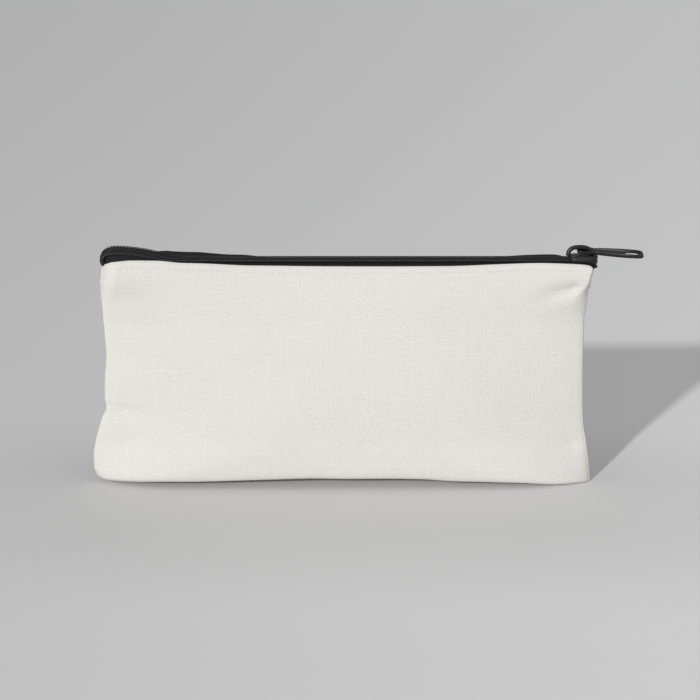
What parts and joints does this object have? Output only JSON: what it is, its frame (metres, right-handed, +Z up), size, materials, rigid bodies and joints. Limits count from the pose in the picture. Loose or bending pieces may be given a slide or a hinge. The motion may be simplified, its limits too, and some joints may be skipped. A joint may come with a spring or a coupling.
{
  "type": "pencil case",
  "caption": "Flat zipped canvas pencil case that stands on its base, with a coil zip along the mouth, a sliding zip slider and a swivelling pull.",
  "frame": {"origin": "middle of the base, on the surface that the case stands on", "axes": "+X along the zip towards its closed end and the pull, -Y towards the front, +Z up"},
  "size_m": [0.2422, 0.0264, 0.1075],
  "materials": {
    "canvas": "plain-weave natural cotton canvas",
    "thread": "off-white cotton thread",
    "tape": "black woven polyester zip tape",
    "coil": "black nylon",
    "zip_thread": "black polyester thread",
    "slider_metal": "black enamel, worn to grey at the edges"
  },
  "bodies": {
    "back_half": {"back_panel": "canvas", "back_tape": "tape", "front_tape_ends": "tape", "back_coil": "coil", "front_coil_ends": "coil", "back_core_cord": "zip_thread", "back_coil_stitching": "zip_thread", "back_topstitch": "thread", "left_seam_stitching": "thread", "right_seam_stitching": "thread", "left_seam_overlock": "thread", "right_seam_overlock": "thread", "zip_end_tacks": "zip_thread"},
    "front_half": {"front_panel": "canvas", "front_tape": "tape", "front_coil": "coil", "front_core_cord": "zip_thread", "front_coil_stitching": "zip_thread", "front_topstitch": "thread", "bottom_seam_stitching": "thread", "bottom_seam_overlock": "thread"},
    "slider": {"slider_body": "slider_metal"},
    "pull": {"pull_tab": "slider_metal"}
  },
  "joints": [
    {"name": "slider_slide", "type": "slide", "parent": "back_half", "child": "slider", "axis": [-1, 0, 0], "range_m": [0, 0.174]},
    {"name": "pull_swivel", "type": "hinge", "parent": "slider", "child": "pull", "pos_m": [0.104, 0, 0.1049], "axis": [0, -1, 0], "range_deg": [0, 188]},
    {"name": "front_mouth_open", "type": "hinge", "parent": "back_half", "child": "front_half", "pos_m": [0, -0.00886, 0.0006], "axis": [1, 0, 0], "range_deg": [0, 13], "stiffness_Nm_per_rad": 0.02, "springref_deg": -5.16}
  ]
}
